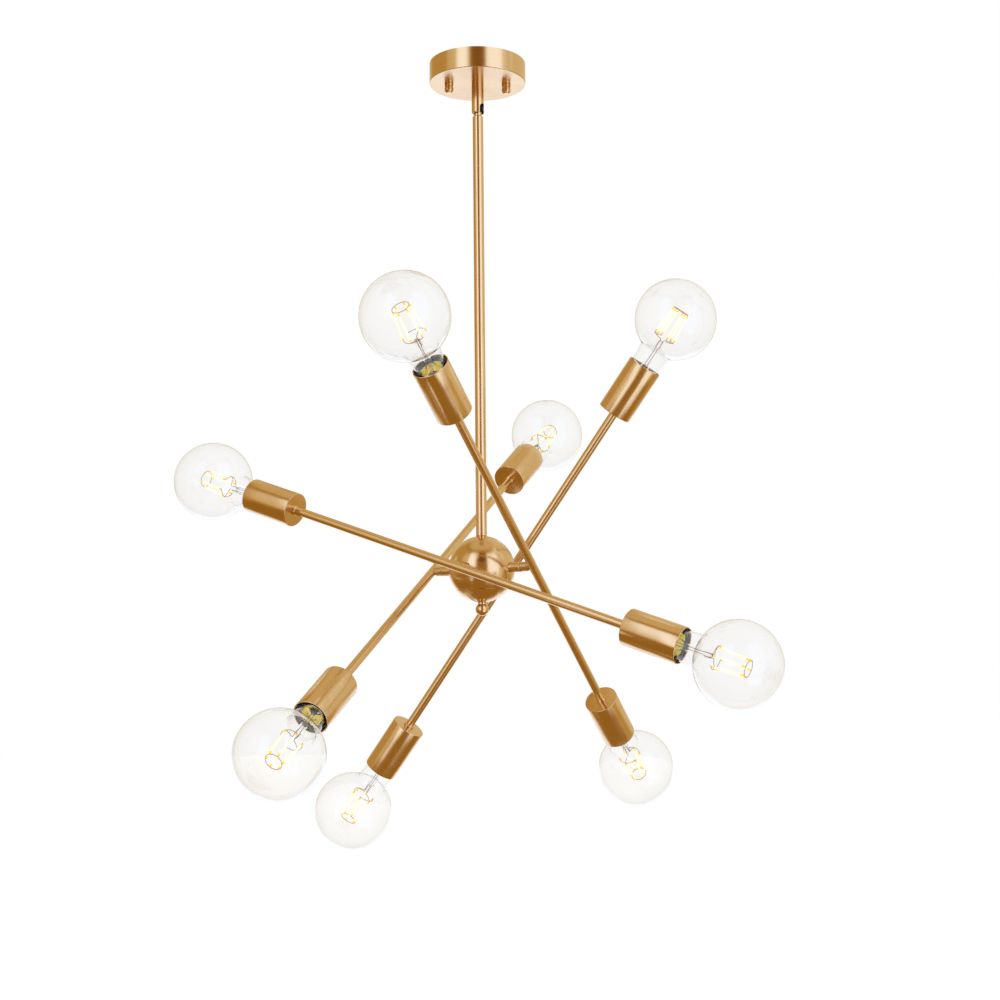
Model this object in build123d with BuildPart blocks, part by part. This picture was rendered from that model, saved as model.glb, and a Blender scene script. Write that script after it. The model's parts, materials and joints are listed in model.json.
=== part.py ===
from build123d import *
from math import cos, radians, sin, sqrt
import os

# A hanging light with four straight arms. Each arm turns on a stub of a round hub and carries a
# lamp cup with a globe bulb at both ends. The origin is the centre of the ceiling face, +Z is up,
# and -Y is the front. Lengths are millimetres and angles are degrees.

# Canopy and crossbar
canopy_radius = 58.0
canopy_height = 25.0
canopy_wall = 1.2
canopy_rim_rounding = 0.8
crossbar_length = 110.0
crossbar_width = 22.0
crossbar_thickness = 2.0
crossbar_corner = 3.0
cable_hole_radius = 7.0
slot_offset = 21.0
slot_length = 16.0
slot_width = 5.0
stud_offset = 34.6
stud_radius = 2.0
stud_length = 35.0
stud_top = -0.5
cap_nut_radius = 5.4
cap_nut_length = 11.8
cap_nut_groove_start = 3.6  # from the canopy's underside
cap_nut_groove_end = 5.4
cap_nut_groove_depth = 0.8
cap_nut_cone_start = 8.8
cap_nut_tip_radius = 3.4

# Swivel: a ball on a neck, held in a barrel whose side slot lets the neck swing out
barrel_radius = 7.35
barrel_length = 37.5
barrel_drop = 30.5          # canopy underside to the ball's centre
barrel_mouth_radius = 5.4
barrel_rim_rounding = 1.4
barrel_shank_length = 13.0
ball_radius = 6.5
neck_radius = 4.5
neck_length = 10.5          # ball's centre to the end of the stem
spigot_length = 14.0
slot_top_above_ball = 4.9
pipe_thread_radius = 5.0    # M10 x 1 lamp thread, used all through the fitting
wire_hole_radius = 3.2
running_gap = 0.05          # radial clearance of every turning fit
thread_gap = 0.05           # radial gap drawn in place of threads
pipe_nut_flats = 14.0
knuckle_nut_flats = 13.0
nut_thickness = 4.0
edge_break = 0.3            # bevel on turned edges

# Stem and hub
hub_drop = 588.5            # canopy underside to the hub's centre
stem_radius = 6.35
stem_chamfer = 0.8
nipple_low = 26.0           # above the hub's centre
nipple_above_land = 18.0
hub_radius = 38.5
hub_wall = 1.5
hub_land = 37.9             # height of the flat land that the stem stands on
cover_seam = -25.0
cover_radius = 39.0
cover_wall = 1.2
bridge_width = 14.0
bridge_thickness = 1.5
bridge_top = 33.5
bridge_bottom = -20.0
bridge_half_width = 13.5
bridge_corner = 3.0
rod_radius = 2.0
rod_above_bridge = 6.0
finial_radius = 7.6
finial_collar_radius = 4.8
finial_centre = -46.9

# Stubs and knuckles, measured outwards from the hub's centre
front_stub_angle = 58.0     # first stub, turned from the front towards the right
stub_radius = 6.0
stub_inner_end = 30.2
stub_outer_end = 52.0
stub_bevel = 0.4
shank_radius = 4.0
shank_inner_end = 24.5
knuckle_radius = 5.6
knuckle_seam = 52.2
arm_offset = 67.0           # hub's centre to the arm tube's axis
arm_wire_hole = 2.5
saddle_start = 6.4          # inwards from the tube's axis
saddle_narrow = 3.4
saddle_step = 1.2

# Arms, measured from the pivot towards either end
arm_leans = [48.75, 38.3, 55.6, 70.5]   # of each arm from upright, in the stored pose
tube_radius = 5.0
tube_wall = 1.0
tube_half_length = 240.0
shoulder_radius = 6.2
shoulder_length = 2.5
cup_radius = 20.25
cup_wall = 1.2
cup_floor = 2.0
cup_back = 230.0
cup_mouth = 296.0
globe_centre = 361.0
globe_radius = 47.5
glass_wall = 0.9
neck_joint_radius = 19.0    # where the bulb's neck meets its round part
collar_radius = 12.3        # glass inside the top of the screw base
collar_length = 8.0
bulb_shoulder_radius = 17.0
lampholder_radius = 18.65
lampholder_rim = 1.3        # short of the cup's mouth
lampholder_floor = 3.0
base_top = 292.0
base_bottom = 265.0
base_radius = 13.15
base_inner_radius = 12.35
thread_pitch = 3.6
thread_turns = 5
thread_depth = 0.6
contact_radius = 3.5
stem_flare_radius = 10.6
stem_tip_gap = 6.0          # from the glass stem's tip to the filaments
filament_start = 337.5
filament_end = 371.0
filament_start_circle = 12.8
filament_end_circle = 9.6
filament_radius = 1.25
filament_count = 6
bulb_turns = [(35, 38), (45, 42), (30, 40), (38, 50)]   # turn of each arm's two bulbs in their holders

underside = -canopy_height
ball_height = underside - barrel_drop
stem_top = ball_height - neck_length
hub_height = underside - hub_drop
hub_centre = Vector(0, 0, hub_height)
up = Vector(0, 0, 1)
slot_direction = Vector(sin(radians(front_stub_angle)), -cos(radians(front_stub_angle)), 0)


def save(piece, name):
    """Label a finished piece and write it under its node name."""
    piece.part.label = name
    export_step(piece.part, f"parts/{name}.step")


def profile_plane(origin, radial, along):
    """Plane whose x axis is the radius and whose y axis runs along a turned piece."""
    return Plane(origin=origin, x_dir=radial, z_dir=radial.cross(along))


def turn(plane, mode=Mode.ADD):
    """Turn the pending half outline round its plane's y axis."""
    revolve(axis=Axis(plane.origin, plane.y_dir), mode=mode)


def hex_nut(plane, across_flats, thickness, hole_radius):
    """Chamfer-free hex nut standing on a plane."""
    with BuildPart() as nut:
        with BuildSketch(plane):
            RegularPolygon(across_flats / 2, 6, major_radius=False)
            Circle(hole_radius, mode=Mode.SUBTRACT)
        extrude(amount=thickness)
    return nut


class Arm:
    """Where one arm stands: its stub's direction, its pivot and its own axis."""

    def __init__(self, turn_angle, lean):
        azimuth = radians(turn_angle)
        self.outward = Vector(sin(azimuth), -cos(azimuth), 0)
        sideways = Vector(cos(azimuth), sin(azimuth), 0)
        self.pivot = hub_centre + self.outward * arm_offset
        self.direction = up * cos(radians(lean)) - sideways * sin(radians(lean))

    def half(self, end):
        """Profile plane of the upper (1) or lower (-1) half, measured from the pivot."""
        return profile_plane(self.pivot, self.outward, self.direction * end)

    def stub(self):
        """Profile plane of the stub's axis, measured from the hub's centre."""
        return profile_plane(hub_centre, up, self.outward)


upright = profile_plane(Vector(0, 0, 0), Vector(1, 0, 0), up)
hub_upright = profile_plane(hub_centre, Vector(1, 0, 0), up)
arms = [Arm(front_stub_angle + 90 * place, lean) for place, lean in enumerate(arm_leans)]
stub_directions = [arm.outward for arm in arms]
bridge_angle = radians(front_stub_angle + 45)
bridge_direction = Vector(cos(bridge_angle), sin(bridge_angle), 0)


def make_pipe_nut(plane):
    """Nut for the pipe thread, on the canopy's inside or under the hub's bridge."""
    return hex_nut(plane, pipe_nut_flats, nut_thickness, pipe_thread_radius + thread_gap)


# ---- held to the ceiling ----

def make_canopy():
    with BuildPart() as canopy:
        with BuildSketch():
            Circle(canopy_radius)
        extrude(amount=-canopy_height)
        fillet(canopy.edges().group_by(Axis.Z)[0], radius=canopy_rim_rounding)
        with BuildSketch():
            Circle(canopy_radius - canopy_wall)
        extrude(amount=-(canopy_height - canopy_wall), mode=Mode.SUBTRACT)
        with BuildSketch(Plane.XY.offset(underside)):
            Circle(pipe_thread_radius + 0.2)
            with GridLocations(2 * stud_offset, 0, 2, 1):
                Circle(stud_radius + 0.3)
        extrude(amount=canopy_wall, mode=Mode.SUBTRACT)
    return canopy


def make_crossbar():
    with BuildPart() as crossbar:
        with BuildSketch():
            RectangleRounded(crossbar_length, crossbar_width, crossbar_corner)
            Circle(cable_hole_radius, mode=Mode.SUBTRACT)
            with GridLocations(2 * slot_offset, 0, 2, 1):
                SlotOverall(slot_length, slot_width, mode=Mode.SUBTRACT)
            with GridLocations(2 * stud_offset, 0, 2, 1):
                Circle(stud_radius + thread_gap, mode=Mode.SUBTRACT)
        extrude(amount=-crossbar_thickness)
    return crossbar


def make_studs():
    with BuildPart() as studs:
        with BuildSketch(Plane.XY.offset(stud_top)):
            with GridLocations(2 * stud_offset, 0, 2, 1):
                Circle(stud_radius)
        extrude(amount=-stud_length)
    return studs


def make_cap_nuts():
    """Cap nuts with a groove between two rings and a conical end, threaded from above."""
    waist = cap_nut_radius - cap_nut_groove_depth
    groove_bevel = 0.6
    bore = stud_radius + thread_gap
    bore_depth = stud_length + 1.0 - canopy_height
    with BuildPart() as nuts:
        for side in (-1, 1):
            plane = profile_plane(Vector(side * stud_offset, 0, underside), Vector(1, 0, 0), -up)
            with BuildSketch(plane):
                with BuildLine():
                    Polyline(
                        (0, bore_depth), (bore, bore_depth), (bore, 0), (cap_nut_radius - edge_break, 0),
                        (cap_nut_radius, edge_break), (cap_nut_radius, cap_nut_groove_start),
                        (waist, cap_nut_groove_start + groove_bevel),
                        (waist, cap_nut_groove_end - groove_bevel), (cap_nut_radius, cap_nut_groove_end),
                        (cap_nut_radius, cap_nut_cone_start), (cap_nut_tip_radius, cap_nut_length),
                        (0, cap_nut_length), (0, bore_depth))
                make_face()
            turn(plane)
    return nuts


def make_swivel_housing():
    """Barrel with a ball seat, a rolled lower rim, a side slot and a hollow threaded shank."""
    shank_top = underside + barrel_shank_length
    seat_radius = ball_radius + running_gap
    rim = underside - barrel_length
    rim_start = rim + barrel_rim_rounding
    rim_inner = barrel_radius - barrel_rim_rounding
    seat_low = ball_height - sqrt(seat_radius ** 2 - barrel_mouth_radius ** 2)
    bore_top = ball_height + 8.0
    with BuildPart() as housing:
        with BuildSketch(upright):
            with BuildLine():
                Polyline(
                    (seat_radius, ball_height), (seat_radius, bore_top), (wire_hole_radius, bore_top + 2.0),
                    (wire_hole_radius, shank_top), (pipe_thread_radius, shank_top),
                    (pipe_thread_radius, underside), (barrel_radius, underside),
                    (barrel_radius, rim_start))
                RadiusArc((barrel_radius, rim_start), (rim_inner, rim), barrel_rim_rounding)
                Polyline((rim_inner, rim), (barrel_mouth_radius + 0.5, rim), (barrel_mouth_radius, seat_low))
                RadiusArc((barrel_mouth_radius, seat_low), (seat_radius, ball_height), -seat_radius)
            make_face()
        turn(upright)
        slot_half_width = neck_radius + 0.3
        slot_plane = Plane(
            origin=(0, 0, ball_height), x_dir=up.cross(slot_direction), z_dir=slot_direction)
        with BuildSketch(slot_plane):
            with Locations((0, slot_top_above_ball - slot_half_width)):
                Circle(slot_half_width)
                Rectangle(2 * slot_half_width, barrel_length, align=(Align.CENTER, Align.MAX))
        extrude(amount=2 * barrel_radius, mode=Mode.SUBTRACT)
    return housing


# ---- swivel ----

def make_swivel_ball():
    """Hollow ball with a neck and a threaded spigot that the stem screws onto."""
    spigot_end = stem_top - spigot_length
    meet = ball_height - sqrt(ball_radius ** 2 - neck_radius ** 2)
    top = ball_height + sqrt(ball_radius ** 2 - wire_hole_radius ** 2)
    with BuildPart() as ball:
        with BuildSketch(upright):
            with BuildLine():
                Polyline(
                    (neck_radius, meet), (neck_radius, stem_top), (pipe_thread_radius, stem_top - 0.5),
                    (pipe_thread_radius, spigot_end), (wire_hole_radius, spigot_end),
                    (wire_hole_radius, top))
                ThreePointArc((wire_hole_radius, top), (ball_radius, ball_height), (neck_radius, meet))
            make_face()
        turn(upright)
    return ball


# ---- stem and hub ----

def make_stem():
    bore = pipe_thread_radius + running_gap
    length = stem_top - hub_height - hub_land
    with BuildPart() as stem:
        with BuildSketch(Plane.XY.offset(hub_height + hub_land)):
            Circle(stem_radius)
            Circle(bore, mode=Mode.SUBTRACT)
        extrude(amount=length)
        rims = stem.edges().filter_by(GeomType.CIRCLE)
        chamfer(rims.filter_by(lambda rim: rim.radius > stem_radius - 0.1), length=stem_chamfer)
    return stem


def make_stem_nipple():
    nipple_high = hub_land + nipple_above_land
    with BuildPart() as nipple:
        with BuildSketch(Plane.XY.offset(hub_height + nipple_low)):
            Circle(pipe_thread_radius)
            Circle(wire_hole_radius, mode=Mode.SUBTRACT)
        extrude(amount=nipple_high - nipple_low)
    return nipple


def make_hub_shell():
    """Hollow ball with a land on top, open below, with four stub holes round its middle."""
    inner_radius = hub_radius - hub_wall
    hole = pipe_thread_radius + 0.2
    land_edge = sqrt(hub_radius ** 2 - hub_land ** 2)
    inner_top = sqrt(inner_radius ** 2 - hole ** 2)
    outer_low = sqrt(hub_radius ** 2 - cover_seam ** 2)
    inner_low = sqrt(inner_radius ** 2 - cover_seam ** 2)
    with BuildPart() as shell:
        with BuildSketch(hub_upright):
            with BuildLine():
                ThreePointArc((outer_low, cover_seam), (hub_radius, 0), (land_edge, hub_land))
                Polyline((land_edge, hub_land), (hole, hub_land), (hole, inner_top))
                ThreePointArc((hole, inner_top), (inner_radius, 0), (inner_low, cover_seam))
                Line((inner_low, cover_seam), (outer_low, cover_seam))
            make_face()
        turn(hub_upright)
        for direction in stub_directions:
            with BuildSketch(Plane(origin=hub_centre, z_dir=direction)):
                Circle(stub_radius + 0.02)
            extrude(amount=hub_radius + 1.0, mode=Mode.SUBTRACT)
    return shell


def make_hub_bridge():
    """Strap bent into a loop, hung from the nipple, that carries the cover's rod."""
    plane = Plane(origin=hub_centre, x_dir=bridge_direction, z_dir=bridge_direction.cross(up))
    middle = (bridge_top + bridge_bottom) / 2
    height = bridge_top - bridge_bottom
    with BuildPart() as bridge:
        with BuildSketch(plane):
            with Locations((0, middle)):
                RectangleRounded(2 * bridge_half_width, height, bridge_corner)
                RectangleRounded(
                    2 * (bridge_half_width - bridge_thickness), height - 2 * bridge_thickness,
                    bridge_corner - bridge_thickness, mode=Mode.SUBTRACT)
        extrude(amount=bridge_width / 2, both=True)
        with BuildSketch(Plane.XY.offset(hub_height + bridge_top)):
            Circle(pipe_thread_radius + thread_gap)
        extrude(amount=-bridge_thickness, mode=Mode.SUBTRACT)
        with BuildSketch(Plane.XY.offset(hub_height + bridge_bottom)):
            Circle(rod_radius + thread_gap)
        extrude(amount=bridge_thickness, mode=Mode.SUBTRACT)
    return bridge


def make_hub_rod():
    top = bridge_bottom + rod_above_bridge
    bottom = finial_centre - 1.0
    with BuildPart() as rod:
        with BuildSketch(Plane.XY.offset(hub_height + bottom)):
            Circle(rod_radius)
        extrude(amount=top - bottom)
    return rod


def make_hub_cover():
    """Shallow cap that closes the hub, a little proud of the ball above it."""
    inner_radius = cover_radius - cover_wall
    hole = rod_radius + 0.3
    outer_rim = sqrt(cover_radius ** 2 - cover_seam ** 2)
    inner_rim = sqrt(inner_radius ** 2 - cover_seam ** 2)
    outer_low = -sqrt(cover_radius ** 2 - hole ** 2)
    inner_low = -sqrt(inner_radius ** 2 - hole ** 2)
    with BuildPart() as cover:
        with BuildSketch(hub_upright):
            with BuildLine():
                RadiusArc((hole, outer_low), (outer_rim, cover_seam), -cover_radius)
                Line((outer_rim, cover_seam), (inner_rim, cover_seam))
                RadiusArc((inner_rim, cover_seam), (hole, inner_low), inner_radius)
                Line((hole, inner_low), (hole, outer_low))
            make_face()
        turn(hub_upright)
    return cover


def make_finial():
    """Ball nut with a short collar, threaded from above."""
    collar_top = -cover_radius
    meet = finial_centre + sqrt(finial_radius ** 2 - finial_collar_radius ** 2)
    bore = rod_radius + thread_gap
    bore_end = finial_centre - 2.0
    with BuildPart() as finial:
        with BuildSketch(hub_upright):
            with BuildLine():
                Polyline((0, finial_centre - finial_radius), (0, bore_end), (bore, bore_end),
                         (bore, collar_top), (finial_collar_radius, collar_top),
                         (finial_collar_radius, meet))
                ThreePointArc((finial_collar_radius, meet), (finial_radius, finial_centre),
                              (0, finial_centre - finial_radius))
            make_face()
        turn(hub_upright)
    return finial


def make_hub_stubs():
    bore = shank_radius + running_gap
    with BuildPart() as stubs:
        for direction in stub_directions:
            plane = profile_plane(hub_centre, up, direction)
            with BuildSketch(plane):
                with BuildLine():
                    Polyline(
                        (bore, stub_inner_end), (stub_radius, stub_inner_end),
                        (stub_radius, stub_outer_end - stub_bevel),
                        (stub_radius - stub_bevel, stub_outer_end),
                        (bore, stub_outer_end), (bore, stub_inner_end))
                make_face()
            turn(plane)
    return stubs


# ---- arms ----

def make_tube(arm):
    """Tube with a shoulder for each cup to sit against and a side hole for the wires."""
    across = Plane(origin=arm.pivot, z_dir=arm.direction)
    with BuildPart() as tube:
        with BuildSketch(across):
            Circle(tube_radius)
        extrude(amount=tube_half_length, both=True)
        for end in (-1, 1):
            with BuildSketch(Plane(origin=arm.pivot + arm.direction * end * cup_back,
                                   z_dir=arm.direction * -end)):
                Circle(shoulder_radius)
            extrude(amount=shoulder_length)
            chamfer(tube.faces().sort_by(Axis(arm.pivot, arm.direction * end))[-3].edges()
                    .filter_by(lambda edge: edge.radius > tube_radius + 0.1), length=edge_break)
        with BuildSketch(across):
            Circle(tube_radius - tube_wall)
        extrude(amount=tube_half_length, both=True, mode=Mode.SUBTRACT)
        with BuildSketch(Plane(origin=arm.pivot, z_dir=-arm.outward)):
            Circle(arm_wire_hole)
        extrude(amount=tube_radius + 1.0, mode=Mode.SUBTRACT)
    return tube


def make_knuckle(arm):
    """Turned piece with a saddle for the tube and a hollow shank that runs in the stub."""
    plane = arm.stub()
    saddle_radius = knuckle_radius - saddle_step
    with BuildPart() as knuckle:
        with BuildSketch(plane):
            with BuildLine():
                Polyline(
                    (arm_wire_hole, shank_inner_end), (shank_radius, shank_inner_end),
                    (shank_radius, knuckle_seam), (knuckle_radius - edge_break, knuckle_seam),
                    (knuckle_radius, knuckle_seam + edge_break),
                    (knuckle_radius, arm_offset - saddle_start),
                    (saddle_radius, arm_offset - saddle_narrow), (saddle_radius, arm_offset),
                    (arm_wire_hole, arm_offset), (arm_wire_hole, shank_inner_end))
            make_face()
        turn(plane)
        with BuildSketch(Plane(origin=arm.pivot, z_dir=arm.direction)):
            Circle(tube_radius + 0.02)
        extrude(amount=2 * tube_radius, both=True, mode=Mode.SUBTRACT)
    return knuckle


def make_knuckle_nut(arm):
    inner_end = stub_inner_end - 0.2 - nut_thickness
    plane = Plane(origin=hub_centre + arm.outward * inner_end, x_dir=arm.direction, z_dir=arm.outward)
    return hex_nut(plane, knuckle_nut_flats, nut_thickness, shank_radius + thread_gap)


def make_cup(arm, end):
    plane = arm.half(end)
    inner = cup_radius - cup_wall
    hole = tube_radius + 0.1
    back_bevel = 0.5
    with BuildPart() as cup:
        with BuildSketch(plane):
            with BuildLine():
                Polyline(
                    (hole, cup_back), (cup_radius - back_bevel, cup_back),
                    (cup_radius, cup_back + back_bevel), (cup_radius, cup_mouth - edge_break),
                    (cup_radius - edge_break, cup_mouth), (inner, cup_mouth),
                    (inner, cup_back + cup_floor), (hole, cup_back + cup_floor), (hole, cup_back))
            make_face()
        turn(plane)
    return cup


def bulb_outline(wall):
    """Half outline of a bulb's glass, taken in by a wall thickness and closed along its axis."""
    radius = globe_radius - wall
    joint = neck_joint_radius - wall
    joint_at = globe_centre - sqrt(radius ** 2 - joint ** 2)
    collar = collar_radius - wall
    collar_low = base_top - collar_length
    shoulder_start = (collar, base_top + 0.3)
    shoulder_end = (bulb_shoulder_radius - wall, base_top + 5.0)
    Polyline((0, collar_low), (collar, collar_low), shoulder_start)
    Spline(shoulder_start, shoulder_end, tangents=[(0, 1), (1, 4)])
    Line(shoulder_end, (joint, joint_at))
    ThreePointArc((joint, joint_at), (radius, globe_centre), (0, globe_centre + radius))
    Line((0, globe_centre + radius), (0, collar_low))


def make_globe(arm, end):
    """Glass envelope: a thin shell, open where the screw base holds its neck."""
    plane = arm.half(end)
    with BuildPart() as globe:
        with BuildSketch(plane):
            with BuildLine():
                bulb_outline(0)
            make_face()
        turn(plane)
        with BuildSketch(plane):
            with BuildLine():
                bulb_outline(glass_wall)
            make_face()
        turn(plane, mode=Mode.SUBTRACT)
    return globe


def make_lampholders(arm):
    """Insulating sleeves screwed onto the tube's ends, each with a screw socket inside."""
    back = cup_back + cup_floor
    front = cup_mouth - lampholder_rim
    socket = base_radius + 0.4
    floor = base_bottom - 1.5
    floor_back = floor - lampholder_floor
    contact_hole = 2.0
    wiring_space = 10.0
    thread_end = tube_half_length + 1.0
    with BuildPart() as lampholders:
        for end in (-1, 1):
            plane = arm.half(end)
            with BuildSketch(plane):
                with BuildLine():
                    Polyline(
                        (tube_radius + thread_gap, back), (lampholder_radius, back),
                        (lampholder_radius, front), (lampholder_radius - 0.9, front),
                        (socket, base_top - 2.0), (socket, floor), (contact_hole, floor),
                        (contact_hole, floor_back), (wiring_space, floor_back),
                        (wiring_space, thread_end), (tube_radius + thread_gap, thread_end),
                        (tube_radius + thread_gap, back))
                make_face()
            turn(plane)
    return lampholders


def make_bulb_bases(arm):
    """Screw shells with rounded threads, an insulator cone and a contact tip."""
    thread_low = base_bottom + 4.0
    thread_top = thread_low + thread_turns * thread_pitch
    root = base_radius - thread_depth
    inner = base_inner_radius
    with BuildPart() as bases:
        for end in (-1, 1):
            plane = arm.half(end)
            with BuildSketch(plane):
                with BuildLine():
                    Polyline(
                        (inner, base_top), (inner, thread_low + 1.5), (0, thread_low + 1.5),
                        (0, base_bottom - 0.8), (contact_radius, base_bottom - 0.8),
                        (contact_radius + 1.2, base_bottom + 0.4),
                        (10.8, thread_low - 0.4), (root, thread_low))
                    for ring in range(thread_turns):
                        low = thread_low + ring * thread_pitch
                        high = low + thread_pitch
                        ThreePointArc((root, low), (base_radius, (low + high) / 2), (root, high))
                    Polyline(
                        (root, thread_top), (base_radius, thread_top + thread_depth),
                        (base_radius, base_top), (inner, base_top))
                make_face()
            turn(plane)
    return bases


def make_bulb_stems(arm):
    """Flared glass stem inside each bulb that carries the filaments."""
    foot = base_top - 5.0
    tip = filament_start - stem_tip_gap
    flare_rim = (stem_flare_radius, foot + 1.0)
    waist = (4.0, tip - 6.0)
    with BuildPart() as stems:
        for end in (-1, 1):
            plane = arm.half(end)
            with BuildSketch(plane):
                with BuildLine():
                    Polyline((0, tip), (0, foot), (stem_flare_radius, foot), flare_rim)
                    Spline(flare_rim, (4.4, foot + 13.0), waist, tangents=[(-1, 1), (0, 1)])
                    Polyline(waist, (3.2, tip - 1.0), (2.4, tip), (0, tip))
                make_face()
            turn(plane)
    return stems


def make_filaments(arm, turns):
    """Six straight filaments in a slightly tapered ring inside each bulb."""
    with BuildPart() as filaments:
        for end, turned in zip((1, -1), turns):
            axis = arm.direction * end
            across = axis.cross(arm.outward)
            for place in range(filament_count):
                angle = radians(place * 360 / filament_count + turned)
                radial = arm.outward * cos(angle) + across * sin(angle)
                start = arm.pivot + axis * filament_start + radial * filament_start_circle
                finish = arm.pivot + axis * filament_end + radial * filament_end_circle
                with BuildSketch(Plane(origin=start, z_dir=finish - start)):
                    Circle(filament_radius)
                extrude(amount=(finish - start).length)
    return filaments


os.makedirs("parts", exist_ok=True)
save(make_canopy(), "canopy")
save(make_crossbar(), "crossbar")
save(make_studs(), "canopy_studs")
save(make_cap_nuts(), "cap_nuts")
save(make_swivel_housing(), "swivel_housing")
swivel_nut_plane = Plane.XY.offset(underside + canopy_wall)
save(make_pipe_nut(swivel_nut_plane), "swivel_nut")
save(make_swivel_ball(), "swivel_ball")
save(make_stem(), "stem")
save(make_stem_nipple(), "stem_nipple")
hub_nut_plane = Plane.XY.offset(hub_height + bridge_top - bridge_thickness - nut_thickness)
save(make_pipe_nut(hub_nut_plane), "hub_nut")
save(make_hub_shell(), "hub_shell")
save(make_hub_bridge(), "hub_bridge")
save(make_hub_rod(), "hub_rod")
save(make_hub_cover(), "hub_cover")
save(make_finial(), "finial")
save(make_hub_stubs(), "hub_stubs")
for number, arm in enumerate(arms, start=1):
    save(make_tube(arm), f"arm_{number}_tube")
    save(make_knuckle(arm), f"arm_{number}_knuckle")
    save(make_knuckle_nut(arm), f"arm_{number}_knuckle_nut")
    save(make_cup(arm, 1), f"arm_{number}_upper_cup")
    save(make_cup(arm, -1), f"arm_{number}_lower_cup")
    save(make_globe(arm, 1), f"arm_{number}_upper_globe")
    save(make_globe(arm, -1), f"arm_{number}_lower_globe")
    save(make_lampholders(arm), f"arm_{number}_lampholders")
    save(make_bulb_bases(arm), f"arm_{number}_bulb_bases")
    save(make_bulb_stems(arm), f"arm_{number}_bulb_stems")
    save(make_filaments(arm, bulb_turns[number - 1]), f"arm_{number}_filaments")
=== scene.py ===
import json
import math

import bmesh
import bpy
from mathutils import Matrix, Vector


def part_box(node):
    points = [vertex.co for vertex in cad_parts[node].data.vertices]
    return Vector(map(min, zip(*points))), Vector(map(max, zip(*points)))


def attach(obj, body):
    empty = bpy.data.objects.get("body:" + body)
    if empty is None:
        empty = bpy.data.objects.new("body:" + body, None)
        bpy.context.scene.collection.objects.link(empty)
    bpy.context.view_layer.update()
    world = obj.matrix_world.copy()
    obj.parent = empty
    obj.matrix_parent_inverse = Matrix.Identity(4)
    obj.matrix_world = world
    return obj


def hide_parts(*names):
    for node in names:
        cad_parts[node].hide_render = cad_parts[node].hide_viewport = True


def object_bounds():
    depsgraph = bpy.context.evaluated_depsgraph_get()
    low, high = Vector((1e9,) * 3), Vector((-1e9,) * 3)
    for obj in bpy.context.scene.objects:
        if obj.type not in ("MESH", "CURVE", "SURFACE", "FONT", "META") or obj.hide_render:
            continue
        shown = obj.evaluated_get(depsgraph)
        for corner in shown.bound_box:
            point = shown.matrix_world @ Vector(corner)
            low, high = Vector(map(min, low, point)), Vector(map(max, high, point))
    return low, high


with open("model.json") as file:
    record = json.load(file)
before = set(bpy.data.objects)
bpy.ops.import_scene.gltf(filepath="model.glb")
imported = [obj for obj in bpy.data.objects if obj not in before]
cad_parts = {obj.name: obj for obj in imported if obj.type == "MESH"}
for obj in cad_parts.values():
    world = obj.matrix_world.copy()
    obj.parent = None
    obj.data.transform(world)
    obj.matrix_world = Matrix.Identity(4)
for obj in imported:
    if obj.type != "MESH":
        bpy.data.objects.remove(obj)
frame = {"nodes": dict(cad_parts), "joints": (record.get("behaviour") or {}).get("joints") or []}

cad_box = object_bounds()

MM = 0.001
ARMS = range(1, 5)
scene = bpy.context.scene
nodes = frame["nodes"]
joints = {joint["name"]: joint for joint in frame["joints"]}


# ---- camera ----

CAMERA_PLACE = (-0.07831, -1.96706, -0.77380)
PITCH, YAW, ROLL = 0.142432, 0.0820838, -0.0147333     # radians: up, to the right, and of the level


def place_camera():
    data = bpy.data.cameras.new("camera")
    data.sensor_width = 36.0
    data.lens = 60.969
    data.shift_x = -0.05184
    data.shift_y = -0.03569
    forward = Vector((math.sin(YAW) * math.cos(PITCH), math.cos(YAW) * math.cos(PITCH), math.sin(PITCH)))
    level = Vector((math.cos(YAW), -math.sin(YAW), 0))
    upward = level.cross(forward)
    right = level * math.cos(ROLL) + upward * math.sin(ROLL)
    top = upward * math.cos(ROLL) - level * math.sin(ROLL)
    camera = bpy.data.objects.new("camera", data)
    turn = Matrix((right, top, -forward)).transposed()
    camera.matrix_world = Matrix.Translation(CAMERA_PLACE) @ turn.to_4x4()
    data.dof.use_dof = False
    data.clip_start = 0.05
    data.clip_end = 100
    scene.collection.objects.link(camera)
    scene.camera = camera


place_camera()


# ---- node helpers ----

def new_material(name):
    material = bpy.data.materials.new(name)
    material.use_nodes = True
    tree = material.node_tree
    return material, tree, tree.nodes["Principled BSDF"]


def node(tree, kind, **settings):
    made = tree.nodes.new(kind)
    for key, value in settings.items():
        setattr(made, key, value)
    return made


def math_node(tree, operation, first, second=None, clamp=False):
    made = node(tree, "ShaderNodeMath", operation=operation, use_clamp=clamp)
    for socket, value in zip(made.inputs, (first, second)):
        if value is None:
            continue
        if isinstance(value, (int, float)):
            socket.default_value = value
        else:
            tree.links.new(value, socket)
    return made.outputs[0]


def step_node(tree, shape, value, low, high, start, end):
    made = node(tree, "ShaderNodeMapRange", interpolation_type=shape)
    tree.links.new(value, made.inputs["Value"])
    for key, number in (("From Min", low), ("From Max", high), ("To Min", start), ("To Max", end)):
        made.inputs[key].default_value = number
    return made.outputs["Result"]


def smooth_step(tree, value, low, high, start=0.0, end=1.0):
    return step_node(tree, "SMOOTHSTEP", value, low, high, start, end)


def linear_step(tree, value, low, high, start, end):
    return step_node(tree, "LINEAR", value, low, high, start, end)


def ramp(tree, value, stops):
    made = node(tree, "ShaderNodeValToRGB")
    elements = made.color_ramp.elements
    while len(elements) < len(stops):
        elements.new(0.5)
    for element, (place, colour) in zip(elements, stops):
        element.position = place
        element.color = (*colour, 1.0)
    tree.links.new(value, made.inputs["Fac"])
    return made.outputs["Color"]


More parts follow.
